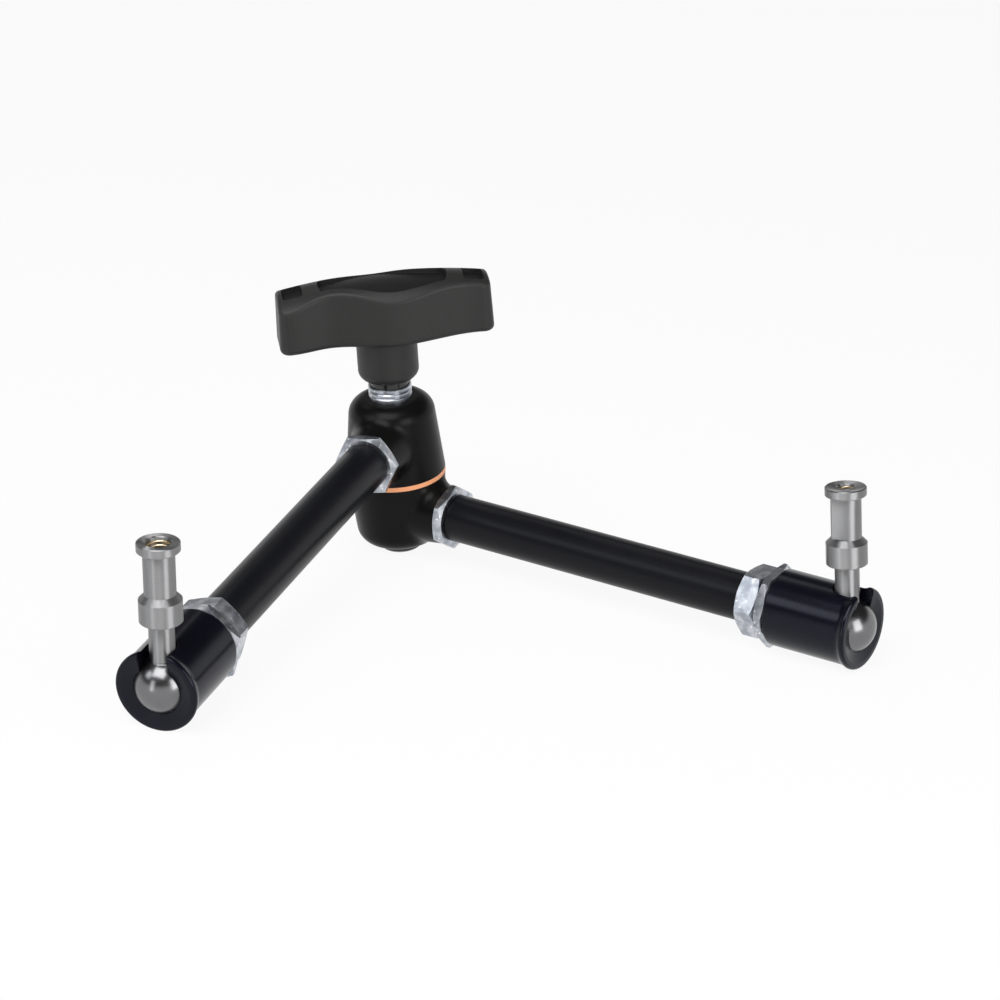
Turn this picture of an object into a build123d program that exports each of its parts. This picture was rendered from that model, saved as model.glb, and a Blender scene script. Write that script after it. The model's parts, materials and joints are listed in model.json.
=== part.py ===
from build123d import *
import math
import os

# Articulating friction arm: two tubes on one elbow, a ball stud in a slotted cup at each
# end, and one T handle that locks everything. All sizes are millimetres.
# The elbow axis is Z and the row's origin is the foot of the bolt under the elbow.

# Clearances
RUNNING = 0.05
ROD_SPACE = 0.4
WEDGE_GAP = 0.3
PAD_SPACE = 0.15

# Elbow castings: each arm's boss stands ARM_RISE from the joint face, and the casting
# rises a little past the boss
ARM_RISE = 14.4
JOINT_RADIUS = 20.7
CASTING_TOP_RADIUS = 17.3
SHOULDER_ROUND = 7.4
CAVITY_RADIUS = 10.0
CAVITY_ROOF = 6.6
BOSS_ROOT_RADIUS = 14.0
BOSS_END_RADIUS = 12.0
BOSS_START = 10.0
BOSS_BLEND = 6.0
LOWER_CROWN = 2.2
UPPER_CROWN = 4.2
LOWER_CASTING_TALL = ARM_RISE + BOSS_ROOT_RADIUS + LOWER_CROWN
UPPER_CASTING_TALL = ARM_RISE + BOSS_ROOT_RADIUS + UPPER_CROWN
CAVITY_DEPTH = LOWER_CASTING_TALL - CAVITY_ROOF

# Heights on the elbow axis, foot upward
FOOT_HEIGHT = 3.4
WASHER_THICK = 2.0
WASHER_BOTTOM = FOOT_HEIGHT + LOWER_CASTING_TALL
JOINT_TOP = WASHER_BOTTOM + WASHER_THICK
LOWER_ARM_HEIGHT = WASHER_BOTTOM - ARM_RISE
UPPER_ARM_HEIGHT = JOINT_TOP + ARM_RISE

# Where the two arms point, seen from above
LEFT_ARM_ANGLE = -112.2
RIGHT_ARM_ANGLE = -37.3

# Spindle, wedges and foot
SPINDLE_RADIUS = 5.0
FOOT_RADIUS = 9.0
FOOT_CHAMFER = 0.8
WEDGE_RADIUS = 9.3
WEDGE_TIP_RADIUS = 6.0
WEDGE_LAND = 4.0
WEDGE_TALL = 18.0
WEDGE_CONE = WEDGE_TALL - WEDGE_LAND
WEDGE_START = ARM_RISE - WEDGE_LAND - WEDGE_CONE / 2

# Threaded sleeve on top of the upper casting
SLEEVE_RADIUS = 9.0
SLEEVE_SEAT = 5.0
SLEEVE_RISE = 6.0
SLEEVE_GROOVE = 0.45
SLEEVE_GROOVE_HALF = 0.6
SLEEVE_GROOVE_COUNT = 2
SLEEVE_PITCH = SLEEVE_RISE / (SLEEVE_GROOVE_COUNT + 1)
SLEEVE_SHOULDER = JOINT_TOP + UPPER_CASTING_TALL
SLEEVE_BOTTOM = SLEEVE_SHOULDER - SLEEVE_SEAT
SLEEVE_TOP = SLEEVE_SHOULDER + SLEEVE_RISE

# Washers under the handle
THRUST_RADIUS = 8.2
THRUST_THICK = 2.3
SHIM_RADIUS = 8.4
SHIM_THICK = 0.4
HUB_BOTTOM = SLEEVE_TOP + THRUST_THICK + SHIM_THICK

# T handle
HUB_RADIUS = 12.6
HUB_TALL = 18.7
HUB_FOOT_ROUND = 4.0
INSERT_RADIUS = 7.2
INSERT_LONG = 17.0
SPINDLE_GRIP = 14.7
SPINDLE_TOP = HUB_BOTTOM + SPINDLE_GRIP
HANDLE_ANGLE = 7.2
HANDLE_TALL = 26.6
HANDLE_BOTTOM = HUB_BOTTOM + HUB_TALL
HANDLE_CREST = HANDLE_BOTTOM + HANDLE_TALL
HANDLE_HALF_LONG = 44.3
HANDLE_DRAFT_ANGLE = 2.0
HANDLE_FLARED_END = 12.4
FLARE_FROM_END = 6.3
FLARE_HALF = 12.9
NEAR_WAIST_FROM_END = 20.3
NEAR_WAIST_HALF = 9.9
HANDLE_BULGE_HALF = 15.2
SHOULDER_FROM_MIDDLE = 12.3
SHOULDER_HALF = 14.4
FAR_WAIST_FROM_END = 10.3
FAR_WAIST_HALF = 9.6
HANDLE_PLAIN_END = 10.9
HANDLE_CORNER = 4.2
DOME_RADIUS = 18.5
CROWN_RADIUS = 245.0
RIDGE_ROUND = 2.0
UNDER_ROUND = 2.3
HUB_SUNK = 2 * UNDER_ROUND
PANEL_INSET = 4.3
PANEL_DEPTH = 2.5
PANEL_DOME_RADIUS = 38.0
POCKET_FROM_END = 7.2
POCKET_AT = HANDLE_HALF_LONG - POCKET_FROM_END
POCKET_LONG = 8.2
POCKET_WIDE = 12.0
POCKET_DEPTH = 2.4
PANEL_FROM_POCKET = 6.5
PANEL_HALF_LONG = POCKET_AT - POCKET_LONG / 2 - PANEL_FROM_POCKET
POCKET_CORNER = 1.2

# Arm stations, measured along the arm from the elbow axis
BOSS_REACH = 26.4
ELBOW_NUT_START = BOSS_REACH
ELBOW_NUT_THICK = 4.4
ELBOW_NUT_FLATS = 24.0
TUBE_START = ELBOW_NUT_START + ELBOW_NUT_THICK
TUBE_LONG = 148.7
TUBE_END = TUBE_START + TUBE_LONG
TUBE_RADIUS = 9.75
TUBE_BREAK = 0.5
SPIGOT_RADIUS = 8.3
SPIGOT_LONG = 15.6
COUPLING_HEX_LONG = 9.8
COUPLING_FLATS = 25.0
COUPLING_SOCKET = 6.0
COUPLING_SPIGOT_RADIUS = 12.4
COUPLING_SPIGOT_LONG = 17.0
COUPLING_START = TUBE_END - COUPLING_SOCKET
CUP_NUT_START = COUPLING_START + COUPLING_HEX_LONG
CUP_NUT_THICK = 4.4
CUP_NUT_FLATS = 29.0
NUT_CHAMFER = 1.3
GROOVE_CHAMFER = 1.7
CHAMFER_SPREAD = 1.9
HEXAGON_HALF_ANGLE = math.radians(30)
COUPLING_END = CUP_NUT_START + COUPLING_SPIGOT_LONG

# Ball cup, measured from its back face and from the middle of the ball
CUP_START = CUP_NUT_START + CUP_NUT_THICK
BALL_FROM_CUP_BACK = 29.8
BALL_AT = CUP_START + BALL_FROM_CUP_BACK
BALL_RADIUS = 11.0
SEAT_RADIUS = BALL_RADIUS + RUNNING
CUP_RADIUS = 15.3
CUP_LIP_RADIUS = 16.2
CUP_FACE_RADIUS = 15.1
CUP_FLARE_AHEAD = 2.1
CUP_LIP_AHEAD = 5.5
CUP_FRONT_AHEAD = 6.9
CUP_FLARE_START = BALL_AT + CUP_FLARE_AHEAD
CUP_LIP_AT = BALL_AT + CUP_LIP_AHEAD
CUP_FRONT = BALL_AT + CUP_FRONT_AHEAD
DISH_RADIUS = 13.8
DISH_DEPTH = 1.0
CUP_BACK_ROUND = 0.8
CUP_THREAD_SPARE = 1.7
CUP_THREAD_END = COUPLING_END + CUP_THREAD_SPARE
SLOT_HALF = 5.9
SLOT_SETBACK = 1.2
SLOT_REACH = CUP_LIP_RADIUS + SLOT_HALF

# Brake pad and push rod
PAD_RADIUS = SEAT_RADIUS - PAD_SPACE
PAD_BACK_BEHIND = 16.0
PAD_FRONT_BEHIND = 7.0
PAD_BACK = BALL_AT - PAD_BACK_BEHIND
PAD_FRONT = BALL_AT - PAD_FRONT_BEHIND
ROD_RADIUS = 4.0

# Ball stud, measured from the middle of the ball
NECK_RADIUS = 4.77
NECK_BLEND = 0.8
NECK_LONG = 24.9
COLLAR_LONG = 8.7
COLLAR_RADIUS = 8.0
SHANK_RADIUS = 5.9
SHANK_LONG = 16.6
FLANGE_THICK = 3.5
COLLAR_BOTTOM = NECK_LONG
COLLAR_EDGE = COLLAR_BOTTOM + COLLAR_LONG
COLLAR_TOP = COLLAR_EDGE + COLLAR_RADIUS - SHANK_RADIUS
FLANGE_BOTTOM = COLLAR_TOP + SHANK_LONG
STUD_TOP = FLANGE_BOTTOM + FLANGE_THICK
EDGE_BREAK = 0.35
FLAT_DEPTH = 1.1
LARGE_THREAD_RADIUS = 4.76
SMALL_THREAD_RADIUS = 3.175
LARGE_COUNTERSINK = 5.2
SMALL_COUNTERSINK = 3.8
LARGE_THREAD_DEPTH = 14.0
SMALL_THREAD_DEPTH = 12.0

# How far each nut is turned about its arm, as the flats stand in the photograph
LEFT_NUT_ANGLES = {"elbow_nut": 33.0, "coupling": 41.0, "cup_nut": -15.0}
RIGHT_NUT_ANGLES = {"elbow_nut": -8.0, "coupling": 25.0, "cup_nut": 35.0}

# How each cup and stud sits in the photographed pose
LEFT_CUP_ROLL_ANGLE = 0.3
RIGHT_CUP_ROLL_ANGLE = -7.1
LEFT_STUD_ROLL_ANGLE = -2.1
RIGHT_STUD_ROLL_ANGLE = -7.1
LEFT_STUD_LEAN_ANGLE = 3.9
RIGHT_STUD_LEAN_ANGLE = 4.8

os.makedirs("parts", exist_ok=True)


def save(shape, node):
    """Names one finished piece and writes it as a STEP file."""
    shape.label = node
    export_step(shape, "parts/" + node + ".step")


def arm_plane(turn, height):
    """Gives the plane an arm grows from: its Z runs along the arm and its X points up."""
    angle = math.radians(turn)
    along = (math.cos(angle), math.sin(angle), 0)
    return Plane(origin=(0, 0, height), x_dir=(0, 0, 1), z_dir=along)


LEFT_ARM = arm_plane(LEFT_ARM_ANGLE, UPPER_ARM_HEIGHT).location
RIGHT_ARM = arm_plane(RIGHT_ARM_ANGLE, LOWER_ARM_HEIGHT).location


def elbow_casting(tall, seat_radius, seat_depth):
    """Builds one elbow casting with its joint face at zero and its boss along X."""
    boss_plane = Plane(origin=(BOSS_START, 0, ARM_RISE), x_dir=(0, 1, 0), z_dir=(1, 0, 0))
    with BuildPart() as casting:
        with BuildSketch(Plane.XZ):
            with BuildLine():
                Polyline(
                    (0, 0),
                    (JOINT_RADIUS, 0),
                    (CASTING_TOP_RADIUS, tall),
                    (0, tall),
                    close=True,
                )
            make_face()
        revolve(axis=Axis.Z)
        fillet(casting.edges().sort_by(Axis.Z)[-1], radius=SHOULDER_ROUND)
        body_edges = casting.edges()
        with BuildSketch(boss_plane):
            Circle(BOSS_ROOT_RADIUS)
        with BuildSketch(boss_plane.offset(BOSS_REACH - BOSS_START)):
            Circle(BOSS_END_RADIUS)
        loft()
        seam = casting.edges().filter_by(lambda edge: edge not in body_edges)
        seam = seam.filter_by(lambda edge: edge.center().X < BOSS_REACH - RUNNING)
        seam = seam.filter_by(lambda edge: edge.geom_type not in (GeomType.CIRCLE, GeomType.LINE))
        fillet(seam, radius=BOSS_BLEND)
        with BuildSketch(boss_plane.offset(BOSS_REACH - BOSS_START)):
            Circle(SPIGOT_RADIUS)
        extrude(amount=SPIGOT_LONG)
        with BuildSketch(Plane.XY):
            Circle(CAVITY_RADIUS)
        extrude(amount=CAVITY_DEPTH, mode=Mode.SUBTRACT)
        with BuildSketch(Plane.XY):
            Circle(SPINDLE_RADIUS + RUNNING)
        extrude(amount=tall, mode=Mode.SUBTRACT)
        with BuildSketch(Plane.XY.offset(tall - seat_depth)):
            Circle(seat_radius)
        extrude(amount=seat_depth, mode=Mode.SUBTRACT)
        with BuildSketch(boss_plane.offset(-BOSS_START)):
            Circle(ROD_RADIUS + ROD_SPACE)
        extrude(amount=BOSS_REACH + SPIGOT_LONG, mode=Mode.SUBTRACT)
    return casting.part


def hex_nut(start, thick, flats, bore, back_chamfer, front_chamfer):
    """Builds a hexagon nut with chamfered corners, standing on the arm axis at start."""
    with BuildPart() as nut:
        with BuildSketch(Plane.XY.offset(start)):
            RegularPolygon(radius=flats / 2, side_count=6, major_radius=False)
            Circle(bore, mode=Mode.SUBTRACT)
        extrude(amount=thick)
        corner = flats / 2 / math.cos(HEXAGON_HALF_ANGLE)
        with BuildSketch(Plane.XZ):
            with BuildLine():
                Polyline(
                    (0, start),
                    (corner - back_chamfer * CHAMFER_SPREAD, start),
                    (corner, start + back_chamfer),
                    (corner, start + thick - front_chamfer),
                    (corner - front_chamfer * CHAMFER_SPREAD, start + thick),
                    (0, start + thick),
                    close=True,
                )
            make_face()
        revolve(axis=Axis.Z, mode=Mode.INTERSECT)
    return nut.part


upper_body = elbow_casting(UPPER_CASTING_TALL, SLEEVE_RADIUS + RUNNING, SLEEVE_SEAT)
lower_body = elbow_casting(LOWER_CASTING_TALL, SPINDLE_RADIUS + RUNNING, SLEEVE_SEAT)
upper_place = Location((0, 0, JOINT_TOP), (0, 0, LEFT_ARM_ANGLE))
lower_place = Location((0, 0, WASHER_BOTTOM), (0, 0, RIGHT_ARM_ANGLE)) * Location((0, 0, 0), (180, 0, 0))

# Friction washer between the two castings
with BuildPart() as friction_washer:
    with BuildSketch(Plane.XY.offset(WASHER_BOTTOM)):
        Circle(JOINT_RADIUS)
        Circle(CAVITY_RADIUS, mode=Mode.SUBTRACT)
    extrude(amount=WASHER_THICK)

# Spindle with its foot under the lower casting
with BuildPart() as spindle:
    with BuildSketch(Plane.XY):
        Circle(FOOT_RADIUS)
    extrude(amount=FOOT_HEIGHT)
    chamfer(spindle.edges().sort_by(Axis.Z)[0], length=FOOT_CHAMFER)
    with BuildSketch(Plane.XY.offset(FOOT_HEIGHT)):
        Circle(SPINDLE_RADIUS)
    extrude(amount=SPINDLE_TOP - FOOT_HEIGHT)
    chamfer(spindle.edges().sort_by(Axis.Z)[-1], length=FOOT_CHAMFER)

# Wedge that presses one push rod; the lower one is the same piece turned over
with BuildPart() as wedge:
    with BuildSketch(Plane.XZ):
        with BuildLine():
            Polyline(
                (SPINDLE_RADIUS + RUNNING, WEDGE_START),
                (WEDGE_RADIUS, WEDGE_START),
                (WEDGE_RADIUS, WEDGE_START + WEDGE_LAND),
                (WEDGE_TIP_RADIUS, WEDGE_START + WEDGE_TALL),
                (SPINDLE_RADIUS + RUNNING, WEDGE_START + WEDGE_TALL),
                close=True,
            )
        make_face()
    revolve(axis=Axis.Z)

# Bright threaded sleeve on the upper casting, with two thread grooves showing
with BuildPart() as threaded_sleeve:
    with BuildSketch(Plane.XY.offset(SLEEVE_BOTTOM)):
        Circle(SLEEVE_RADIUS)
        Circle(SPINDLE_RADIUS + RUNNING, mode=Mode.SUBTRACT)
    extrude(amount=SLEEVE_TOP - SLEEVE_BOTTOM)
    rim = threaded_sleeve.edges().filter_by_position(Axis.Z, SLEEVE_TOP, SLEEVE_TOP)
    chamfer(rim.sort_by(SortBy.RADIUS)[-1], length=SLEEVE_GROOVE)
    for groove in range(SLEEVE_GROOVE_COUNT):
        groove_at = SLEEVE_SHOULDER + SLEEVE_PITCH * (groove + 1)
        with BuildSketch(Plane.XZ):
            Polygon(
                (SLEEVE_RADIUS, groove_at - SLEEVE_GROOVE_HALF),
                (SLEEVE_RADIUS, groove_at + SLEEVE_GROOVE_HALF),
                (SLEEVE_RADIUS - SLEEVE_GROOVE, groove_at),
                align=None,
            )
        revolve(axis=Axis.Z, mode=Mode.SUBTRACT)

# Place of the push rod's round tip: it stays clear of the wedge's sloping side
WEDGE_SLOPE = math.atan((WEDGE_RADIUS - WEDGE_TIP_RADIUS) / WEDGE_CONE)
WEDGE_MIDDLE_RADIUS = (WEDGE_RADIUS + WEDGE_TIP_RADIUS) / 2
WEDGE_TIP_AT = WEDGE_MIDDLE_RADIUS + (ROD_RADIUS + WEDGE_GAP) / math.cos(WEDGE_SLOPE)

# Dark thrust ring and bright shim under the handle
with BuildPart() as thrust_ring:
    with BuildSketch(Plane.XY.offset(SLEEVE_TOP)):
        Circle(THRUST_RADIUS)
        Circle(SPINDLE_RADIUS + RUNNING, mode=Mode.SUBTRACT)
    extrude(amount=THRUST_THICK)

with BuildPart() as bright_shim:
    with BuildSketch(Plane.XY.offset(SLEEVE_TOP + THRUST_THICK)):
        Circle(SHIM_RADIUS)
        Circle(SPINDLE_RADIUS + RUNNING, mode=Mode.SUBTRACT)
    extrude(amount=SHIM_THICK)

with BuildPart() as handle_insert:
    with BuildSketch(Plane.XY.offset(HUB_BOTTOM)):
        Circle(INSERT_RADIUS)
        Circle(SPINDLE_RADIUS + RUNNING, mode=Mode.SUBTRACT)
    extrude(amount=INSERT_LONG)

# T handle: a waisted outline raised into walls, then cut by a dome that is crowned
# along its length, so the ridge rises at the waists and falls at the hub and the ends
DOME_SWEEP_ANGLE = 20
DOME_SKIRT = 2 * DOME_RADIUS
HANDLE_BASE = Plane(origin=(0, 0, HANDLE_BOTTOM), x_dir=(1, 0, 0), z_dir=(0, 0, 1))
DOME_MIDDLE = HANDLE_CREST - DOME_RADIUS
CROWN_MIDDLE = HANDLE_CREST - CROWN_RADIUS


def handle_side(sign, inset):
    """Lists points along one wavy side of the handle, moved inward by inset.

    The two sides are the same curve turned half round, so each finger finds a near waist
    on one side of the hub and a far waist on the other.
    """
    side = [
        (-HANDLE_HALF_LONG, inset - HANDLE_FLARED_END),
        (FLARE_FROM_END - HANDLE_HALF_LONG, inset - FLARE_HALF),
        (NEAR_WAIST_FROM_END - HANDLE_HALF_LONG, inset - NEAR_WAIST_HALF),
        (0, inset - HANDLE_BULGE_HALF),
        (SHOULDER_FROM_MIDDLE, inset - SHOULDER_HALF),
        (HANDLE_HALF_LONG - FAR_WAIST_FROM_END, inset - FAR_WAIST_HALF),
        (HANDLE_HALF_LONG, inset - HANDLE_PLAIN_END),
    ]
    return [(sign * x, sign * y) for x, y in side]


def dome(radius, drop):
    """Builds a crowned dome of that radius whose crest lies drop below the handle's."""
    crown_axis = Axis((0, 0, CROWN_MIDDLE), (0, 1, 0))
    with BuildPart() as cap:
        with BuildSketch(Plane.YZ):
            with Locations((0, HANDLE_CREST - drop - radius)):
                Circle(radius)
            with Locations((0, HANDLE_BOTTOM - DOME_RADIUS)):
                Rectangle(2 * DOME_SKIRT, DOME_SKIRT + DOME_MIDDLE - HANDLE_BOTTOM)
        revolve(axis=crown_axis, revolution_arc=DOME_SWEEP_ANGLE)
        mirror(about=Plane.YZ)
    return cap.part


# Cutters for the sunk panel and the two end pockets in the handle's top; they reach past
# the crest so that no face of theirs only touches it
CUTTER_TALL = HANDLE_TALL + RIDGE_ROUND
with BuildPart() as panel_cutter:
    with BuildSketch(HANDLE_BASE):
        with BuildLine():
            front_edge = Spline(*handle_side(1, PANEL_INSET))
            rear_edge = Spline(*handle_side(-1, PANEL_INSET))
            Line(front_edge @ 1, rear_edge @ 0)
            Line(rear_edge @ 1, front_edge @ 0)
        make_face()
        SlotOverall(2 * PANEL_HALF_LONG, 2 * HANDLE_BULGE_HALF, mode=Mode.INTERSECT)
    extrude(amount=CUTTER_TALL)
    add(dome(PANEL_DOME_RADIUS, PANEL_DEPTH), mode=Mode.SUBTRACT)

with BuildPart() as pocket_cutter:
    with BuildSketch(HANDLE_BASE):
        with Locations((-POCKET_AT, 0), (POCKET_AT, 0)):
            RectangleRounded(POCKET_LONG, POCKET_WIDE, POCKET_CORNER)
    extrude(amount=CUTTER_TALL)
    add(dome(PANEL_DOME_RADIUS, POCKET_DEPTH), mode=Mode.SUBTRACT)

with BuildPart() as handle:
    with BuildSketch(HANDLE_BASE):
        with BuildLine():
            front_side = Spline(*handle_side(1, 0))
            rear_side = Spline(*handle_side(-1, 0))
            Line(front_side @ 1, rear_side @ 0)
            Line(rear_side @ 1, front_side @ 0)
        make_face()
        fillet(vertices(), radius=HANDLE_CORNER)
    extrude(amount=HANDLE_TALL, taper=HANDLE_DRAFT_ANGLE)
    add(dome(DOME_RADIUS, 0), mode=Mode.INTERSECT)
    fillet(handle.faces().sort_by(Axis.Z)[-1].edges(), radius=RIDGE_ROUND)
    fillet(handle.faces().sort_by(Axis.Z)[0].edges(), radius=UNDER_ROUND)
    with BuildSketch(HANDLE_BASE.offset(-HUB_TALL)):
        Circle(HUB_RADIUS)
    extrude(amount=HUB_TALL + HUB_SUNK)
    fillet(handle.edges().sort_by(Axis.Z)[0], radius=HUB_FOOT_ROUND)
    with BuildSketch(HANDLE_BASE.offset(-HUB_TALL)):
        Circle(INSERT_RADIUS)
    extrude(amount=INSERT_LONG, mode=Mode.SUBTRACT)
    add(panel_cutter.part, mode=Mode.SUBTRACT)
    add(pocket_cutter.part, mode=Mode.SUBTRACT)

handle_place = Location((0, 0, 0), (0, 0, HANDLE_ANGLE))

# Piece of the arm: tube screwed on the casting's spigot and held by the coupling
with BuildPart() as arm_tube:
    with BuildSketch(Plane.XY.offset(TUBE_START)):
        Circle(TUBE_RADIUS)
        Circle(SPIGOT_RADIUS + RUNNING, mode=Mode.SUBTRACT)
    extrude(amount=TUBE_END - TUBE_START)
    chamfer(arm_tube.edges().filter_by_position(Axis.Z, TUBE_START, TUBE_START), length=TUBE_BREAK)

# Rod that carries the wedge's push to the brake pad
with BuildPart() as push_rod:
    with BuildSketch(Plane.XY.offset(WEDGE_TIP_AT)):
        Circle(ROD_RADIUS)
    extrude(amount=PAD_BACK - WEDGE_TIP_AT)
    with Locations((0, 0, WEDGE_TIP_AT)):
        Sphere(ROD_RADIUS)

# Coupling: a chamfered hexagon with a socket for the tube and a threaded spigot ahead
coupling_hexagon = hex_nut(
    COUPLING_START,
    COUPLING_HEX_LONG,
    COUPLING_FLATS,
    ROD_RADIUS + ROD_SPACE,
    NUT_CHAMFER,
    GROOVE_CHAMFER,
)
with BuildPart() as coupling:
    add(coupling_hexagon)
    with BuildSketch(Plane.XY.offset(CUP_NUT_START)):
        Circle(COUPLING_SPIGOT_RADIUS)
        Circle(ROD_RADIUS + ROD_SPACE, mode=Mode.SUBTRACT)
    extrude(amount=COUPLING_SPIGOT_LONG)
    with BuildSketch(Plane.XY.offset(COUPLING_START)):
        Circle(TUBE_RADIUS + RUNNING)
    extrude(amount=COUPLING_SOCKET, mode=Mode.SUBTRACT)

elbow_nut = hex_nut(
    ELBOW_NUT_START,
    ELBOW_NUT_THICK,
    ELBOW_NUT_FLATS,
    SPIGOT_RADIUS + RUNNING,
    NUT_CHAMFER,
    NUT_CHAMFER,
)
cup_nut = hex_nut(
    CUP_NUT_START,
    CUP_NUT_THICK,
    CUP_NUT_FLATS,
    COUPLING_SPIGOT_RADIUS + RUNNING,
    GROOVE_CHAMFER,
    NUT_CHAMFER,
)

# Ball cup: turned outside with a flared lip and a dished face, bored from behind to a
# round seat that keeps the ball in, then slotted from the front for the stud's neck
SEAT_EDGE_AT = CUP_FRONT - DISH_DEPTH
SEAT_EDGE_RADIUS = math.sqrt(SEAT_RADIUS**2 - (SEAT_EDGE_AT - BALL_AT) ** 2)
SEAT_MIDDLE = math.asin((SEAT_EDGE_AT - BALL_AT) / SEAT_RADIUS) / 2
with BuildPart() as ball_cup:
    with BuildSketch(Plane.XZ):
        with BuildLine():
            Polyline(
                (SEAT_RADIUS, BALL_AT),
                (SEAT_RADIUS, CUP_THREAD_END),
                (COUPLING_SPIGOT_RADIUS + RUNNING, CUP_THREAD_END),
                (COUPLING_SPIGOT_RADIUS + RUNNING, CUP_START),
                (CUP_RADIUS, CUP_START),
                (CUP_RADIUS, CUP_FLARE_START),
            )
            Spline(
                (CUP_RADIUS, CUP_FLARE_START),
                (CUP_LIP_RADIUS, CUP_LIP_AT),
                (CUP_FACE_RADIUS, CUP_FRONT),
                tangents=((0, 1), (-1, 0)),
            )
            Polyline(
                (CUP_FACE_RADIUS, CUP_FRONT),
                (DISH_RADIUS, CUP_FRONT),
                (SEAT_EDGE_RADIUS, SEAT_EDGE_AT),
            )
            ThreePointArc(
                (SEAT_EDGE_RADIUS, SEAT_EDGE_AT),
                (
                    SEAT_RADIUS * math.cos(SEAT_MIDDLE),
                    BALL_AT + SEAT_RADIUS * math.sin(SEAT_MIDDLE),
                ),
                (SEAT_RADIUS, BALL_AT),
            )
        make_face()
    revolve(axis=Axis.Z)
    back_edge = ball_cup.edges().filter_by(GeomType.CIRCLE).filter_by_position(Axis.Z, CUP_START, CUP_START)
    fillet(back_edge.sort_by(SortBy.RADIUS)[-1], radius=CUP_BACK_ROUND)
    with BuildSketch(Plane.YZ):
        with Locations((0, BALL_AT - SLOT_SETBACK)):
            Circle(SLOT_HALF)
        with Locations((0, BALL_AT - SLOT_SETBACK + SLOT_REACH / 2)):
            Rectangle(2 * SLOT_HALF, SLOT_REACH)
    extrude(amount=SLOT_REACH, mode=Mode.SUBTRACT)

# Brake pad behind the ball
with BuildPart() as brake_pad:
    with BuildSketch(Plane.XY.offset(PAD_BACK)):
        Circle(PAD_RADIUS)
    extrude(amount=PAD_FRONT - PAD_BACK)
    with Locations((0, 0, BALL_AT)):
        Sphere(SEAT_RADIUS, mode=Mode.SUBTRACT)


def ball_stud(thread_radius, countersink, depth):
    """Builds one ball stud along Z with the ball's middle at the origin."""
    with BuildPart() as stud:
        with BuildSketch(Plane.XZ):
            with BuildLine():
                Polyline(
                    (0, 0),
                    (NECK_RADIUS, 0),
                    (NECK_RADIUS, COLLAR_BOTTOM),
                    (COLLAR_RADIUS, COLLAR_BOTTOM),
                    (COLLAR_RADIUS, COLLAR_EDGE),
                    (SHANK_RADIUS, COLLAR_TOP),
                    (SHANK_RADIUS, FLANGE_BOTTOM),
                    (COLLAR_RADIUS, FLANGE_BOTTOM),
                    (COLLAR_RADIUS, STUD_TOP),
                    (0, STUD_TOP),
                    close=True,
                )
            make_face()
        revolve(axis=Axis.Z)
        rims = stud.edges().filter_by(GeomType.CIRCLE)
        rims = rims.filter_by(lambda edge: edge.radius > COLLAR_RADIUS - RUNNING)
        chamfer(rims.filter_by(lambda edge: abs(edge.center().Z - COLLAR_EDGE) > RUNNING), EDGE_BREAK)
        Sphere(BALL_RADIUS)
        seam = stud.edges().filter_by(GeomType.CIRCLE)
        seam = seam.filter_by(lambda edge: abs(edge.radius - NECK_RADIUS) < RUNNING)
        fillet(seam.sort_by(Axis.Z)[0], radius=NECK_BLEND)
        with BuildSketch(Plane.XY.offset(COLLAR_TOP)):
            with Locations((0, SHANK_RADIUS)):
                Rectangle(2 * COLLAR_RADIUS, 2 * FLAT_DEPTH)
        extrude(amount=FLANGE_BOTTOM - COLLAR_TOP, mode=Mode.SUBTRACT)
        with BuildSketch(Plane.XZ):
            with BuildLine():
                Polyline(
                    (0, STUD_TOP - depth - thread_radius / 2),
                    (thread_radius, STUD_TOP - depth),
                    (thread_radius, STUD_TOP - countersink + thread_radius),
                    (countersink, STUD_TOP),
                    (0, STUD_TOP),
                    close=True,
                )
            make_face()
        revolve(axis=Axis.Z, mode=Mode.SUBTRACT)
    return stud.part


# The wide thread is on the left stud and the narrow one on the right
left_stud = ball_stud(LARGE_THREAD_RADIUS, LARGE_COUNTERSINK, LARGE_THREAD_DEPTH)
right_stud = ball_stud(SMALL_THREAD_RADIUS, SMALL_COUNTERSINK, SMALL_THREAD_DEPTH)


def turned(shape, arm, angle):
    """Puts a piece on an arm after turning it about the arm's own axis."""
    return shape.moved(arm * Location((0, 0, 0), (0, 0, angle)))


def stud_place(arm, roll, lean):
    """Gives where a stud stands in its cup: rolled about the arm, then leaned back."""
    upright = Location((0, 0, BALL_AT), (0, 0, roll)) * Location((0, 0, 0), (0, 90 + lean, 0))
    return arm * upright


# Elbow
save(lower_body.moved(lower_place), "lower_casting")
save(upper_body.moved(upper_place), "upper_casting")
save(friction_washer.part, "friction_washer")
save(spindle.part, "spindle")
save(wedge.part.moved(Location((0, 0, JOINT_TOP))), "upper_wedge")
save(wedge.part.moved(lower_place), "lower_wedge")
save(threaded_sleeve.part, "threaded_sleeve")
save(thrust_ring.part, "thrust_ring")
save(bright_shim.part, "bright_shim")
save(handle_insert.part, "handle_insert")
save(handle.part.moved(handle_place), "t_handle")

# Arms
for side, arm, cup_roll, turns in (
    ("left", LEFT_ARM, LEFT_CUP_ROLL_ANGLE, LEFT_NUT_ANGLES),
    ("right", RIGHT_ARM, RIGHT_CUP_ROLL_ANGLE, RIGHT_NUT_ANGLES),
):
    save(turned(elbow_nut, arm, turns["elbow_nut"]), side + "_elbow_nut")
    save(arm_tube.part.moved(arm), side + "_tube")
    save(push_rod.part.moved(arm), side + "_push_rod")
    save(turned(coupling.part, arm, turns["coupling"]), side + "_coupling")
    save(turned(cup_nut, arm, turns["cup_nut"]), side + "_cup_nut")
    save(turned(ball_cup.part, arm, cup_roll), side + "_cup")
    save(brake_pad.part.moved(arm), side + "_brake_pad")

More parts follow.
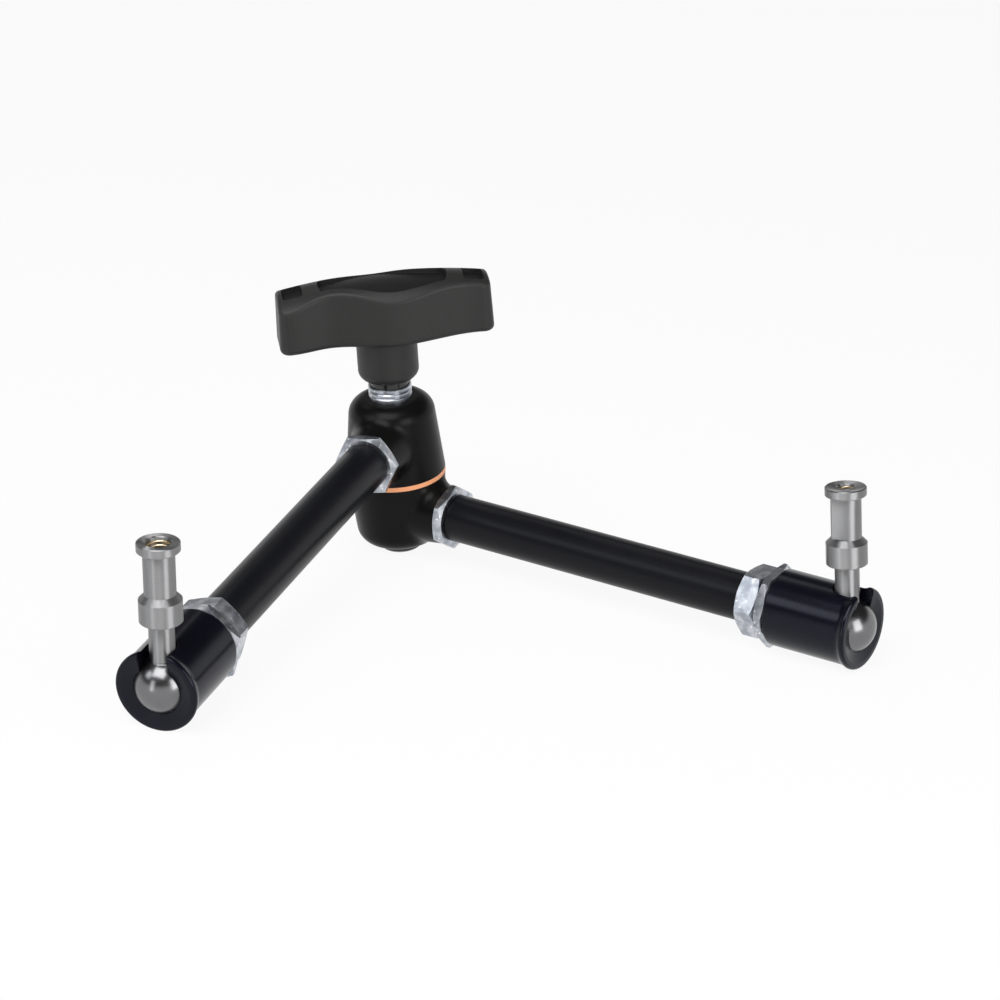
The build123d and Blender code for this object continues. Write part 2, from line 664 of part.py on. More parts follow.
# Studs
save(left_stud.moved(stud_place(LEFT_ARM, LEFT_STUD_ROLL_ANGLE, LEFT_STUD_LEAN_ANGLE)), "left_stud")
save(right_stud.moved(stud_place(RIGHT_ARM, RIGHT_STUD_ROLL_ANGLE, RIGHT_STUD_LEAN_ANGLE)), "right_stud")
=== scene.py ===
import json
import math

import bpy
from mathutils import Matrix, Vector


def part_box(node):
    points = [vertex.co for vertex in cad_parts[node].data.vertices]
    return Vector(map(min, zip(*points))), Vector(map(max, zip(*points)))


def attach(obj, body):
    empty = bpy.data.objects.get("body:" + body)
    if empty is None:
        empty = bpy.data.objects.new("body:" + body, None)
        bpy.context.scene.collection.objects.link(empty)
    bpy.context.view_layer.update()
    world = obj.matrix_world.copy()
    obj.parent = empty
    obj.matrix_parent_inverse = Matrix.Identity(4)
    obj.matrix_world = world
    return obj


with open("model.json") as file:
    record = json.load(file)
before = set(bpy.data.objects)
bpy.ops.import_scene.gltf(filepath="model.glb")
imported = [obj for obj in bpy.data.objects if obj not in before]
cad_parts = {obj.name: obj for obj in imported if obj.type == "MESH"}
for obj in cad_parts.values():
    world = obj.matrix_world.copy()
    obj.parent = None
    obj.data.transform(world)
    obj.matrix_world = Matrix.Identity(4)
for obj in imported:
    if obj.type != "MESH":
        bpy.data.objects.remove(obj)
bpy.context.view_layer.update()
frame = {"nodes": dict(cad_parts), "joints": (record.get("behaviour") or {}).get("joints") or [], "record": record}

print("frame loaded with", len(frame["nodes"]), "nodes")

mm = 0.001
mmPerInch = 25.4
sides = ("left", "right")
mounts = {mount["name"]: mount for mount in frame["record"]["mounts"]}
ballAt = {
    joint["child"]: Vector(joint["pos_m"]) for joint in frame["joints"] if "stud" in joint["name"]
}


# a socket used like a number: each sign adds its Math node to the same tree
class Wire:
    def __init__(self, desk, socket):
        self.desk = desk
        self.socket = socket

    def sum(self, operation, *values):
        settings = {"operation": operation}
        return self.desk.node("ShaderNodeMath", settings, dict(enumerate(values)))

    def __add__(self, other):
        return self.sum("ADD", self, other)

    def __radd__(self, other):
        return self.sum("ADD", other, self)

    def __sub__(self, other):
        return self.sum("SUBTRACT", self, other)

    def __rsub__(self, other):
        return self.sum("SUBTRACT", other, self)

    def __mul__(self, other):
        return self.sum("MULTIPLY", self, other)

    def __rmul__(self, other):
        return self.sum("MULTIPLY", other, self)

    def __pow__(self, other):
        return self.sum("POWER", self, other)

    def __gt__(self, other):
        return self.sum("GREATER_THAN", self, other)

    def sine(self):
        return self.sum("SINE", self)

    # 0 below low, 1 above high, smooth between them
    def step(self, low, high):
        settings = {"interpolation_type": "SMOOTHSTEP"}
        inputs = {"Value": self, "From Min": low, "From Max": high, "To Min": 0.0, "To Max": 1.0}
        return self.desk.node("ShaderNodeMapRange", settings, inputs, "Result")


# a node tree that starts empty
class Desk:
    def __init__(self, tree):
        self.tree = tree
        self.tree.nodes.clear()

    # adds any node: its settings first, then the values or wires of its sockets
    def node(self, kind, settings=None, inputs=None, output=0):
        made = self.tree.nodes.new(kind)
        for key, value in (settings or {}).items():
            setattr(made, key, value)
        self.feed(made, inputs or {})
        return Wire(self, made.outputs[output])

    def feed(self, made, inputs):
        for key, value in inputs.items():
            if isinstance(value, Wire):
                self.tree.links.new(value.socket, made.inputs[key])
            elif isinstance(value, tuple) and made.inputs[key].type == "RGBA":
                made.inputs[key].default_value = (*value, 1.0)
            else:
                made.inputs[key].default_value = value

    def coordinate(self, place, letter):
        return self.node("ShaderNodeSeparateXYZ", {}, {"Vector": place}, letter)

    def rays(self, kind):
        return self.node("ShaderNodeLightPath", output="Is " + kind + " Ray")

    # 1 for the rays that show the white background: the camera's, and those in metal and glass
    def background(self):
        return self.rays("Camera") + self.rays("Glossy") + self.rays("Transmission")


# one material under construction
class Bench(Desk):
    def __init__(self, name):
        self.material = bpy.data.materials.new(name)
        self.material.use_nodes = True
        super().__init__(self.material.node_tree)
        self.shader = self.tree.nodes.new("ShaderNodeBsdfPrincipled")
        self.output = self.tree.nodes.new("ShaderNodeOutputMaterial")
        self.tree.links.new(self.shader.outputs[0], self.output.inputs["Surface"])

    def set(self, **values):
        self.feed(self.shader, {key.replace("_", " "): value for key, value in values.items()})

    def finish(self):
        return Wire(self, self.shader.outputs[0])

    # puts first on the surface where mask is 0, and other where it is 1
    def share(self, mask, first, other):
        mixed = self.node("ShaderNodeMixShader", {}, {0: mask, 1: first, 2: other})
        self.tree.links.new(mixed.socket, self.output.inputs["Surface"])

    # keeps the finish so far where mask is 0, and starts a second one for where it is 1
    def second(self, mask):
        first = self.finish()
        self.shader = self.tree.nodes.new("ShaderNodeBsdfPrincipled")
        self.share(mask, first, self.finish())

    def place(self):
        return self.node("ShaderNodeTexCoord", output="Object")

    def facing(self):
        return self.node("ShaderNodeTexCoord", output="Normal")

    def noise(self, place, size, detail):
        inputs = {"Vector": place, "Scale": 1 / size, "Detail": detail}
        return self.node("ShaderNodeTexNoise", {}, inputs, "Fac")

    # noise along one coordinate only
    def bandNoise(self, path, size, detail):
        inputs = {"W": path, "Scale": 1 / size, "Detail": detail}
        return self.node("ShaderNodeTexNoise", {"noise_dimensions": "1D"}, inputs, "Fac")

    def grooves(self, path, pitch):
        return (path * (2 * math.pi / pitch)).sine()

    def cells(self, place, size):
        inputs = {"Vector": place, "Scale": 1 / size}
        return self.node("ShaderNodeTexVoronoi", {}, inputs, "Distance")

    def blend(self, mask, first, other):
        return self.node("ShaderNodeMix", {"data_type": "RGBA"}, {0: mask, 6: first, 7: other}, 2)

    def vector(self, operation, *values, output=0):
        settings = {"operation": operation}
        return self.node("ShaderNodeVectorMath", settings, dict(enumerate(values)), output)

    # how far along an axis, out from it, and from its origin each point is
    def turnedPlace(self, origin, axis):
        offset = self.vector("SUBTRACT", self.place(), tuple(origin))
        along = self.vector("DOT_PRODUCT", offset, tuple(axis), output="Value")
        across = self.vector("CROSS_PRODUCT", offset, tuple(axis))
        out = self.vector("LENGTH", across, output="Value")
        reach = self.vector("LENGTH", offset, output="Value")
        return along, out, reach

    # coordinates squeezed along an axis, so that noise on them runs in long streaks
    def streakedPlace(self, axis, stretch):
        turn = Vector(axis).rotation_difference(Vector((0, 0, 1))).to_euler()
        inputs = {"Vector": self.place(), "Rotation": tuple(turn)}
        turned = self.node("ShaderNodeVectorRotate", {"rotation_type": "EULER_XYZ"}, inputs)
        return self.vector("MULTIPLY", turned, (1.0, 1.0, 1 / stretch))

    # bump from a height in metres, over edges that are rounded by edge metres
    def relief(self, height, edge=0.0):
        inputs = {"Height": height, "Distance": 1.0, "Strength": 1.0}
        if edge:
            inputs["Normal"] = self.node("ShaderNodeBevel", {"samples": 6}, {"Radius": edge})
        self.set(Normal=self.node("ShaderNodeBump", {}, inputs))


def castingPaint():
    look = {
        "dark": (0.0030, 0.0030, 0.0031),
        "pale": (0.0060, 0.0057, 0.0054),
        "gloss": 0.11,
        "roughness": 0.24,
        "cloudRoughness": 0.10,
        "dustRoughness": 0.05,
        "cloudSize": 14 * mm,
        "peelSize": 1.6 * mm,
        "peelDepth": 0.005 * mm,
        "dustSize": 0.35 * mm,
        "dustDepth": 0.0012 * mm,
        "edge": 0.35 * mm,
    }
    bench = Bench("satinCastingPaint")
    place = bench.place()
    cloud = bench.noise(place, look["cloudSize"], 3)
    peel = bench.noise(place, look["peelSize"], 2)
    dust = bench.noise(place, look["dustSize"], 1)
    rough = look["roughness"] + look["cloudRoughness"] * cloud + look["dustRoughness"] * dust
    bench.set(
        Base_Color=bench.blend(cloud, look["dark"], look["pale"]),
        Roughness=rough,
        Specular_IOR_Level=look["gloss"],
    )
    bench.relief(look["peelDepth"] * peel + look["dustDepth"] * dust, look["edge"])
    return bench.material


def tubeFinish(name, axis):
    look = {
        "dark": (0.0048, 0.0050, 0.0068),
        "pale": (0.0072, 0.0074, 0.0095),
        "gloss": 0.13,
        "roughness": 0.27,
        "streakRoughness": 0.06,
        "cloudRoughness": 0.06,
        "stretch": 40,
        "streakSize": 0.9 * mm,
        "streakDepth": 0.0015 * mm,
        "cloudSize": 18 * mm,
        "grainSize": 0.4 * mm,
        "grainDepth": 0.0018 * mm,
    }
    bench = Bench(name)
    streak = bench.noise(bench.streakedPlace(axis, look["stretch"]), look["streakSize"], 3)
    cloud = bench.noise(bench.place(), look["cloudSize"], 2)
    grain = bench.noise(bench.place(), look["grainSize"], 2)
    rough = look["roughness"] + look["streakRoughness"] * streak + look["cloudRoughness"] * cloud
    bench.set(
        Base_Color=bench.blend(cloud, look["dark"], look["pale"]),
        Roughness=rough,
        Specular_IOR_Level=look["gloss"],
    )
    bench.relief(look["streakDepth"] * streak + look["grainDepth"] * grain)
    return bench.material


def cupFinish(name, origin, axis):
    look = {
        "deep": (0.0020, 0.0020, 0.0040),
        "sheen": (0.0032, 0.0032, 0.0085),
        "gloss": 0.24,
        "glossTint": (0.82, 0.87, 1.0),
        "roughness": 0.16,
        "bandRoughness": 0.06,
        "waverRoughness": 0.04,
        "waverSize": 5 * mm,
        "bandSize": 0.7 * mm,
        "bandDepth": 0.0012 * mm,
        "ringPitch": 0.22 * mm,
        "ringDepth": 0.0004 * mm,
        "edge": 0.3 * mm,
    }
    bench = Bench(name)
    along, out, _ = bench.turnedPlace(origin, axis)
    path = along + out
    rings = bench.grooves(path, look["ringPitch"])
    waver = bench.noise(bench.place(), look["waverSize"], 2)
    band = bench.bandNoise(path, look["bandSize"], 3.0)
    rough = look["roughness"] + look["bandRoughness"] * band + look["waverRoughness"] * waver
    bench.set(
        Base_Color=bench.blend(waver, look["deep"], look["sheen"]),
        Roughness=rough,
        Specular_IOR_Level=look["gloss"],
        Specular_Tint=look["glossTint"],
    )
    bench.relief(look["ringDepth"] * rings + look["bandDepth"] * band, look["edge"])
    return bench.material


def handlePlastic():
    look = {
        "dark": (0.0140, 0.0137, 0.0134),
        "pale": (0.0220, 0.0215, 0.0210),
        "cloudShare": 0.6,
        "grainShare": 0.4,
        "gloss": 0.32,
        "roughness": 0.38,
        "cloudRoughness": 0.10,
        "fineRoughness": 0.08,
        "cloudSize": 11 * mm,
        "grainSize": 0.42 * mm,
        "grainDepth": 0.020 * mm,
        "fineSize": 0.2 * mm,
        "fineDepth": 0.006 * mm,
        "edge": 0.25 * mm,
    }
    # the floors of the sunk panel and of the pockets in the handle's ends: their darker colour is painted shade,
    # while their lower gloss and rougher finish are the plastic's own
    sunkShadeLook = {
        "dark": (0.0070, 0.0069, 0.0068),
        "pale": (0.0110, 0.0108, 0.0105),
        "gloss": 0.18,
        "roughness": 0.42,
        "cloudRoughness": 0.12,
        "fineRoughness": 0.08,
        "grainShare": 0.5,
        "depthFrom": 0.25 * mm,
        "depthTo": 0.45 * mm,
        "upFrom": 0.70,
        "upTo": 0.90,
    }
    # the crowned and domed top that the panel and pockets are sunk into, as in the part's source
    top = {
        "angle": math.radians(7.2),
        "crown": 245 * mm,
        "dome": 18.5 * mm,
        "crestAbove": 1.43 * mm,
    }
    bench = Bench("mouldedHandlePlastic")
    place = bench.place()
    grain = bench.cells(place, look["grainSize"])
    fine = bench.noise(place, look["fineSize"], 2)
    cloud = bench.noise(place, look["cloudSize"], 3)
    speckle = look["cloudShare"] * cloud + look["grainShare"] * grain
    bench.set(
        Base_Color=bench.blend(speckle, look["dark"], look["pale"]),
        Roughness=look["roughness"] + look["cloudRoughness"] * cloud + look["fineRoughness"] * fine,
        Specular_IOR_Level=look["gloss"],
    )
    bench.relief(look["grainDepth"] * grain + look["fineDepth"] * fine, look["edge"])

    # a point is on a sunk floor where it lies below that top and faces up; there the colour is darker as painted
    # shade
    x, y, z = (bench.coordinate(place, letter) for letter in "XYZ")
    up = bench.coordinate(bench.facing(), "Z")
    turn = top["angle"]
    along = x * math.cos(turn) + y * math.sin(turn)
    across = y * math.cos(turn) - x * math.sin(turn)
    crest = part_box("t_handle")[1][2] + top["crestAbove"]
    height = z - (crest - top["crown"])
    fall = top["dome"] - (top["dome"] ** 2 - across * across) ** 0.5
    depth = top["crown"] - (along * along + height * height) ** 0.5 - fall
    sunk = depth.step(sunkShadeLook["depthFrom"], sunkShadeLook["depthTo"])
    bench.second(sunk * up.step(sunkShadeLook["upFrom"], sunkShadeLook["upTo"]))
    rough = sunkShadeLook["roughness"] + sunkShadeLook["cloudRoughness"] * cloud
    # painted shade: a darker colour on the up-facing sunk floors
    bench.set(
        Base_Color=bench.blend(cloud, sunkShadeLook["dark"], sunkShadeLook["pale"]),
        Roughness=rough + sunkShadeLook["fineRoughness"] * fine,
        Specular_IOR_Level=sunkShadeLook["gloss"],
    )
    bench.relief(sunkShadeLook["grainShare"] * look["grainDepth"] * grain + look["fineDepth"] * fine)
    return bench.material


def brightZinc():
    look = {
        "cool": (0.32, 0.345, 0.385),
        "pale": (0.56, 0.58, 0.62),
        "nick": (0.86, 0.86, 0.86),
        "roughness": 0.20,
        "blotchRoughness": 0.10,
        "scratchRoughness": 0.12,
        "blotchSize": 4.0 * mm,
        "blotchFrom": 0.35,
        "blotchTo": 0.65,
        "waveDepth": 0.12 * mm,
        "fineSize": 0.3 * mm,
        "fineDepth": 0.001 * mm,
        "scratchAlong": (0.4, 0.5, 0.77),
        "scratchStretch": 14,
        "scratchSize": 0.35 * mm,
        "scratchDepth": 0.004 * mm,
        "nickAlong": (0.2, -0.6, 0.77),
        "nickStretch": 3,
        "nickSize": 1.8 * mm,
        "nickFrom": 0.66,
        "nickTo": 0.72,
        "edge": 0.22 * mm,
    }
    bench = Bench("brightZincPlate")
    place = bench.place()
    blotch = bench.noise(place, look["blotchSize"], 3)
    wave = bench.noise(place, look["blotchSize"], 0)
    fine = bench.noise(place, look["fineSize"], 3)
    scratched = bench.streakedPlace(look["scratchAlong"], look["scratchStretch"])
    scratch = bench.noise(scratched, look["scratchSize"], 2)
    nicked = bench.streakedPlace(look["nickAlong"], look["nickStretch"])
    nick = bench.noise(nicked, look["nickSize"], 1).step(look["nickFrom"], look["nickTo"])
    patch = blotch.step(look["blotchFrom"], look["blotchTo"])
    tint = bench.blend(patch, look["cool"], look["pale"])
    rough = look["roughness"] + look["blotchRoughness"] * blotch
    bench.set(
        Base_Color=bench.blend(nick, tint, look["nick"]),
        Metallic=1.0,
        Roughness=rough + look["scratchRoughness"] * scratch,
    )
    marks = look["waveDepth"] * wave + look["scratchDepth"] * scratch
    bench.relief(marks + look["fineDepth"] * fine, look["edge"])
    return bench.material


def turnedSteel(name, origin, axis):
    look = {
        "steel": (0.30, 0.30, 0.307),
        "pale": (0.41, 0.41, 0.415),
        "roughness": 0.38,
        "cloudRoughness": 0.06,
        "bandRoughness": 0.10,
        "brushed": 0.96,
        "brushedTurn": 0.25,
        "cloudSize": 6 * mm,
        "bandSize": 0.35 * mm,
        "bandDepth": 0.002 * mm,
        "ringPitch": 0.22 * mm,
        "ringDepth": 0.0012 * mm,
    }
    # the polished ball, and how far from its centre the turned pin begins; the ball's darker colour is painted
    # shade, for the dark cup it sits in
    ballLook = {
        "dark": (0.16, 0.16, 0.165),
        "cloudShare": 0.4,
        "roughness": 0.22,
        "cloudRoughness": 0.05,
        "fineSize": 0.5 * mm,
        "fineDepth": 0.0006 * mm,
        "reach": 11.3 * mm,
    }
    bench = Bench(name)
    along, out, reach = bench.turnedPlace(origin, axis)
    path = along + out
    rings = bench.grooves(path, look["ringPitch"])
    band = bench.bandNoise(path, look["bandSize"], 4.0)
    cloud = bench.noise(bench.place(), look["cloudSize"], 3)
    fine = bench.noise(bench.place(), ballLook["fineSize"], 2)
    # painted shade: the ball's colour is set darker than the pin's
    bench.set(
        Base_Color=bench.blend(ballLook["cloudShare"] * cloud, ballLook["dark"], look["steel"]),
        Metallic=1.0,
        Roughness=ballLook["roughness"] + ballLook["cloudRoughness"] * cloud,
    )
    bench.relief(ballLook["fineDepth"] * fine)
    bench.second(reach > ballLook["reach"])
    rough = look["roughness"] + look["cloudRoughness"] * cloud + look["bandRoughness"] * band
    bench.set(
        Base_Color=bench.blend(0.5 * band + 0.5 * cloud, look["steel"], look["pale"]),
        Metallic=1.0,
        Roughness=rough,
        Anisotropic=look["brushed"],
        Anisotropic_Rotation=look["brushedTurn"],
    )
    bench.relief(look["ringDepth"] * rings + look["bandDepth"] * band)
    return bench.material


def frictionOrange():
    look = {
        "orange": (1.0, 0.37, 0.16),
        "pale": (1.0, 0.50, 0.27),
        "cloudShare": 0.7,
        "fleckShare": 0.3,
        "gloss": 0.3,
        "roughness": 0.42,
        "cloudRoughness": 0.15,
        "cloudSize": 3 * mm,
        "fleckSize": 0.5 * mm,
        "fleckDepth": 0.010 * mm,
    }
    bench = Bench("frictionRingOrange")
    place = bench.place()
    cloud = bench.noise(place, look["cloudSize"], 3)
    fleck = bench.cells(place, look["fleckSize"])
    speckle = look["cloudShare"] * cloud + look["fleckShare"] * fleck
    bench.set(
        Base_Color=bench.blend(speckle, look["orange"], look["pale"]),
        Roughness=look["roughness"] + look["cloudRoughness"] * cloud,
        Specular_IOR_Level=look["gloss"],
    )
    bench.relief(look["fleckDepth"] * fleck)
    return bench.material


def blackOxide():
    look = {
        "black": (0.006, 0.006, 0.0065),
        "worn": (0.020, 0.019, 0.018),
        "wornFrom": 0.5,
        "wornTo": 0.8,
        "gloss": 0.6,
        "roughness": 0.13,
        "cloudRoughness": 0.12,
        "cloudSize": 4 * mm,
        "cloudDepth": 0.002 * mm,
        "ringPitch": 0.3 * mm,
        "ringDepth": 0.0006 * mm,
        "edge": 0.2 * mm,
    }
    bench = Bench("blackOxideSpindle")
    along, out, _ = bench.turnedPlace((0, 0, 0), (0, 0, 1))
    rings = bench.grooves(along + out, look["ringPitch"])
    cloud = bench.noise(bench.place(), look["cloudSize"], 3)
    wear = cloud.step(look["wornFrom"], look["wornTo"])
    bench.set(
        Base_Color=bench.blend(wear, look["black"], look["worn"]),
        Roughness=look["roughness"] + look["cloudRoughness"] * cloud,
        Specular_IOR_Level=look["gloss"],
    )
    bench.relief(look["ringDepth"] * rings + look["cloudDepth"] * cloud, look["edge"])
    return bench.material


# the pieces inside, and the cut threads: a cloudy colour over a fine grain
plainLooks = {
    "plainInnerSteel": {
        "first": (0.50, 0.50, 0.51),
        "pale": (0.62, 0.62, 0.62),
        "metal": 1.0,
        "roughness": 0.30,
        "cloudRoughness": 0.12,
        "fineRoughness": 0.0,
        "cloudSize": 5 * mm,
        "fineSize": 0.3 * mm,
        "fineDepth": 0.002 * mm,
    },
    "innerBrass": {
        "first": (0.62, 0.43, 0.18),
        "pale": (0.74, 0.56, 0.28),
        "metal": 1.0,
        "roughness": 0.28,
        "cloudRoughness": 0.15,
        "fineRoughness": 0.0,
        "cloudSize": 4 * mm,
        "fineSize": 0.25 * mm,
        "fineDepth": 0.003 * mm,
    },
    "brakePadPlastic": {
        "first": (0.62, 0.60, 0.54),
        "pale": (0.74, 0.72, 0.66),
        "metal": 0.0,
        "roughness": 0.45,
        "cloudRoughness": 0.15,
        "fineRoughness": 0.0,
        "cloudSize": 4 * mm,
        "fineSize": 0.25 * mm,
        "fineDepth": 0.006 * mm,
    },
    "warmCutThread": {
        "first": (0.86, 0.66, 0.40),
        "pale": (0.95, 0.84, 0.64),
        "metal": 1.0,
        "roughness": 0.20,
        "cloudRoughness": 0.14,
        "fineRoughness": 0.06,
        "cloudSize": 1.4 * mm,
        "fineSize": 0.12 * mm,
        "fineDepth": 0.003 * mm,
    },
}


def plainFinish(name):
    look = plainLooks[name]
    bench = Bench(name)
    place = bench.place()
    cloud = bench.noise(place, look["cloudSize"], 3)
    fine = bench.noise(place, look["fineSize"], 2)
    bench.set(
        Base_Color=bench.blend(cloud, look["first"], look["pale"]),
        Metallic=look["metal"],
        Roughness=look["roughness"] + look["cloudRoughness"] * cloud + look["fineRoughness"] * fine,
    )
    bench.relief(look["fineDepth"] * fine)
    return bench.material


def paint(material, *nodes):
    for node in nodes:
        piece = frame["nodes"][node]
        piece.data.materials.clear()
        piece.data.materials.append(material)


print("painting the nodes")
innerSteel = plainFinish("plainInnerSteel")
innerPad = plainFinish("brakePadPlastic")
zinc = brightZinc()
paint(castingPaint(), "lower_casting", "upper_casting")
paint(frictionOrange(), "friction_washer")
paint(blackOxide(), "spindle", "thrust_ring")
paint(handlePlastic(), "t_handle")
paint(zinc, "threaded_sleeve", "bright_shim")
paint(innerSteel, "upper_wedge", "lower_wedge")
paint(plainFinish("innerBrass"), "handle_insert")
for side in sides:
    ball = ballAt[side + "_ball_stud"]
    outward = Vector((ball.x, ball.y, 0)).normalized()
    pin = mounts[side + "_stud_pin"]["axis"]
    paint(tubeFinish(side + "TubeFinish", outward), side + "_tube")
    paint(cupFinish(side + "CupFinish", ball, outward), side + "_cup")
    paint(turnedSteel(side + "StudSteel", ball, pin), side + "_stud")
    paint(zinc, side + "_elbow_nut", side + "_coupling", side + "_cup_nut")
    paint(innerSteel, side + "_push_rod")
    paint(innerPad, side + "_brake_pad")


# a mesh in the tree's own frame, stood on origin with its Z along axis
def standing(origin, axis):
    turn = Vector((0, 0, 1)).rotation_difference(Vector(axis)).to_matrix().to_4x4()
    return Matrix.Translation(Vector(origin)) @ turn


# a helical ridge with a three-cornered section
def threadTree():
    tree = bpy.data.node_groups.new("threadRidge", "GeometryNodeTree")
    tree.is_modifier = True
    tree.interface.new_socket("Geometry", in_out="OUTPUT", socket_type="NodeSocketGeometry")
    for name, kind, value in (
        ("Radius", "NodeSocketFloat", 5 * mm),
        ("Pitch", "NodeSocketFloat", 1 * mm),
        ("Turns", "NodeSocketFloat", 5.0),
        ("Ridge", "NodeSocketFloat", 0.4 * mm),
        ("Steps", "NodeSocketInt", 48),
        ("Turned", "NodeSocketFloat", 0.0),
        ("Finish", "NodeSocketMaterial", None),
    ):
        socket = tree.interface.new_socket(name, in_out="INPUT", socket_type=kind)
        if value is not None:
            socket.default_value = value
    desk = Desk(tree)
    given = tree.nodes.new("NodeGroupInput")
    wires = {socket.name: Wire(desk, socket) for socket in given.outputs if socket.name}
    spiral = {
        "Resolution": wires["Steps"],
        "Rotations": wires["Turns"],
        "Start Radius": wires["Radius"],
        "End Radius": wires["Radius"],
        "Height": wires["Pitch"] * wires["Turns"],
    }
    helix = desk.node("GeometryNodeCurveSpiral", {}, spiral)
    upright = desk.node("GeometryNodeSetCurveNormal", {"mode": "Z_UP"}, {"Curve": helix})
    corners = {"Resolution": 3, "Radius": wires["Ridge"]}
    section = desk.node("GeometryNodeCurvePrimitiveCircle", {}, corners)
    turn = desk.node("ShaderNodeCombineXYZ", {}, {"Z": wires["Turned"]})
    swung = desk.node("GeometryNodeTransform", {}, {"Geometry": section, "Rotation": turn})
    sweep = {"Curve": upright, "Profile Curve": swung, "Fill Caps": True}
    skin = desk.node("GeometryNodeCurveToMesh", {}, sweep)
    real = desk.node("GeometryNodeRealizeInstances", {}, {"Geometry": skin})
    finish = {"Geometry": real, "Material": wires["Finish"]}
    finished = desk.node("GeometryNodeSetMaterial", {}, finish)
    output = tree.nodes.new("NodeGroupOutput")
    tree.links.new(finished.socket, output.inputs["Geometry"])
    return tree


# runs a tree with the named values and keeps the result as a plain mesh at place
def growPiece(name, tree, values, place):
    seed = bpy.data.objects.new(name + "Seed", bpy.data.meshes.new(name + "Seed"))
    bpy.context.scene.collection.objects.link(seed)
    modifier = seed.modifiers.new("grow", "NODES")
    modifier.node_group = tree
    for item in tree.interface.items_tree:
        if item.in_out == "INPUT" and item.name in values:
            modifier[item.identifier] = values[item.name]
    bpy.context.view_layer.update()
    evaluated = seed.evaluated_get(bpy.context.evaluated_depsgraph_get())
    mesh = bpy.data.meshes.new_from_object(evaluated)
    bpy.data.objects.remove(seed)
    mesh.transform(place)
    mesh.name = name
    piece = bpy.data.objects.new(name, mesh)
    bpy.context.scene.collection.objects.link(piece)
    return piece


print("cutting the threads")
ridgeTree = threadTree()
golden = plainFinish("warmCutThread")
# sunk and ridge are shares of the pitch; the mouth of the hole is left plain
threads = {
    "left": {"perInch": 16, "mouth": 0.9, "sunk": 0.16, "ridge": 0.34},
    "right": {"perInch": 20, "mouth": 0.9, "sunk": 0.16, "ridge": 0.34},
}
for side, thread in threads.items():
    hole = mounts[side + "_stud_thread"]
    axis = Vector(hole["axis"])
    pitch = mmPerInch / thread["perInch"] * mm
    turns = math.floor((hole["dims"]["length_mm"] - thread["mouth"]) * mm / pitch)
    foot = Vector(hole["pos_m"]) - axis * (turns * pitch / 2)
    values = {
        "Radius": hole["dims"]["r_mm"] * mm - thread["sunk"] * pitch,
        "Pitch": pitch,
        "Turns": float(turns),
        "Ridge": thread["ridge"] * pitch,
        "Turned": math.pi,
        "Finish": golden,
    }
    piece = growPiece(side + "HoleThread", ridgeTree, values, standing(foot, axis))
    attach(piece, side + "_ball_stud")


# the object rests on its two cups and its foot, so the floor slopes in the frame
def floorPiece():
    look = {
        "normal": (0.084, 0.1358, 1.0),
        "reach": 6.0,
        "drop": 0.4 * mm,
        "white": (0.80, 0.80, 0.80),
        "gloss": 0.1,
        "roughness": 0.9,
        "clear": 0.92,
    }
    normal = Vector(look["normal"]).normalized()
    reach = look["reach"]
    corners = [(-reach, -reach, 0), (reach, -reach, 0), (reach, reach, 0), (-reach, reach, 0)]
    mesh = bpy.data.meshes.new("floor")
    mesh.from_pydata(corners, [], [(0, 1, 2, 3)])
    mesh.transform(standing(-normal * look["drop"], normal))
    floor = bpy.data.objects.new("floor", mesh)
    bpy.context.scene.collection.objects.link(floor)
    bench = Bench("paleFloor")
    bench.set(
        Base_Color=look["white"],
        Roughness=look["roughness"],
        Specular_IOR_Level=look["gloss"],
    )
    # the white world shows through it, so that a stud swung below the floor shows too
    clear = bench.node("ShaderNodeBsdfTransparent")
    bench.share(look["clear"] * bench.background(), bench.finish(), clear)
    mesh.materials.append(bench.material)


# white as a background, darker high up, for the camera and in the metal alike;
# for everything else it is a plain fill
def whiteWorld():
    look = {"white": 1.0, "fill": 0.30, "high": 0.06, "highFrom": 0.12, "highTo": 0.38}
    world = bpy.data.worlds.new("whiteStudio")
    bpy.context.scene.world = world
    world.use_nodes = True
    desk = Desk(world.node_tree)
    rise = desk.coordinate(desk.node("ShaderNodeTexCoord", output="Generated"), "Z")
    high = rise.step(look["highFrom"], look["highTo"])
    room = look["white"] + (look["high"] - look["white"]) * high
    strength = look["fill"] + (room - look["fill"]) * desk.background()
    inputs = {"Color": (1.0, 1.0, 1.0), "Strength": strength}
    background = desk.node("ShaderNodeBackground", {}, inputs)
    output = desk.tree.nodes.new("ShaderNodeOutputWorld")
    desk.tree.links.new(background.socket, output.inputs["Surface"])


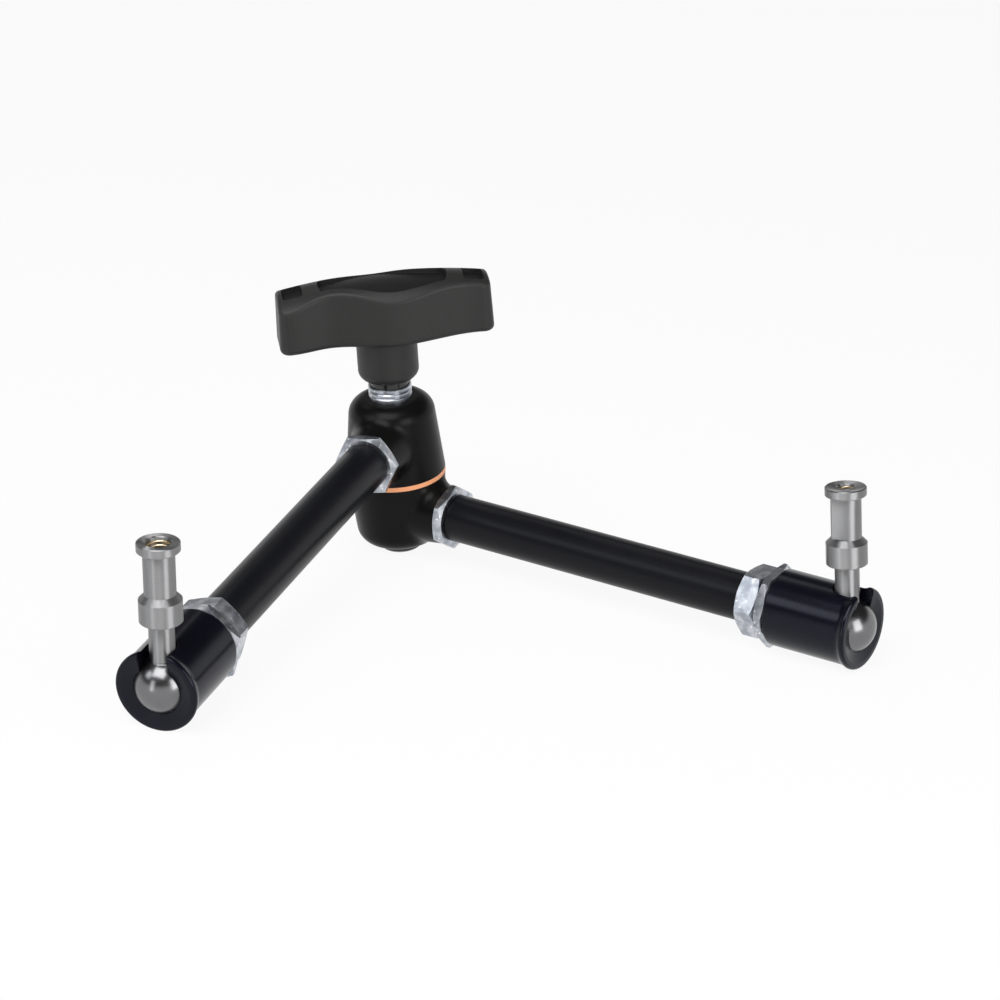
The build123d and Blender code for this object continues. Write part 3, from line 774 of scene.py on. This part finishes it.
# level is how bright the box looks, and its power follows from that and its size
def softBox(name, place, aim, size, level, tint=(1.0, 1.0, 1.0)):
    data = bpy.data.lights.new(name, "AREA")
    data.shape = "RECTANGLE"
    data.size, data.size_y = size
    data.energy = level * math.pi * size[0] * size[1]
    data.color = tint
    lamp = bpy.data.objects.new(name, data)
    turn = (Vector(aim) - Vector(place)).to_track_quat("-Z", "Y").to_matrix().to_4x4()
    lamp.matrix_world = Matrix.Translation(Vector(place)) @ turn
    bpy.context.scene.collection.objects.link(lamp)


print("setting the stage")
middle = (0.04, -0.10, 0.05)
lamps = {
    "overheadBox": {
        "place": (-0.20, -0.58, 1.22),
        "aim": middle,
        "size": (1.00, 0.88),
        "level": 4.8,
    },
    "backBox": {
        "place": (-0.30, 0.95, 1.20),
        "aim": middle,
        "size": (0.90, 0.45),
        "level": 1.0,
    },
    "leftBox": {
        "place": (-1.20, -0.45, 1.12),
        "aim": middle,
        "size": (0.60, 0.55),
        "level": 2.9,
        "tint": (0.93, 0.96, 1.0),
    },
    "leftCard": {
        "place": (-0.62, -0.84, 0.30),
        "aim": (-0.05, -0.20, 0.10),
        "size": (0.18, 0.60),
        "level": 3.0,
    },
    "rightCard": {
        "place": (0.60, -0.76, 0.30),
        "aim": (0.10, -0.18, 0.08),
        "size": (0.46, 0.60),
        "level": 4.2,
    },
}
floorPiece()
whiteWorld()
for name, lamp in lamps.items():
    softBox(name, **lamp)

# the camera as it was fitted to the photograph
view = {
    "place": (0.042613, -1.215891, 0.60980),
    "right": (0.99820488, -0.02622623, -0.05384428),
    "up": (0.05989175, 0.43710779, 0.89741282),
    "back": (0.0, -0.89902668, 0.43789386),
    "sensor": 36.0,
    "lens": 115.71,
    "near": 0.05,
    "far": 50.0,
}
camera = bpy.data.objects.new("camera", bpy.data.cameras.new("camera"))
bpy.context.scene.collection.objects.link(camera)
turn = Matrix((view["right"], view["up"], view["back"])).transposed().to_4x4()
camera.matrix_world = Matrix.Translation(view["place"]) @ turn
camera.data.sensor_width = view["sensor"]
camera.data.lens = view["lens"]
camera.data.clip_start = view["near"]
camera.data.clip_end = view["far"]
bpy.context.scene.camera = camera
bpy.context.scene.view_settings.view_transform = "Standard"
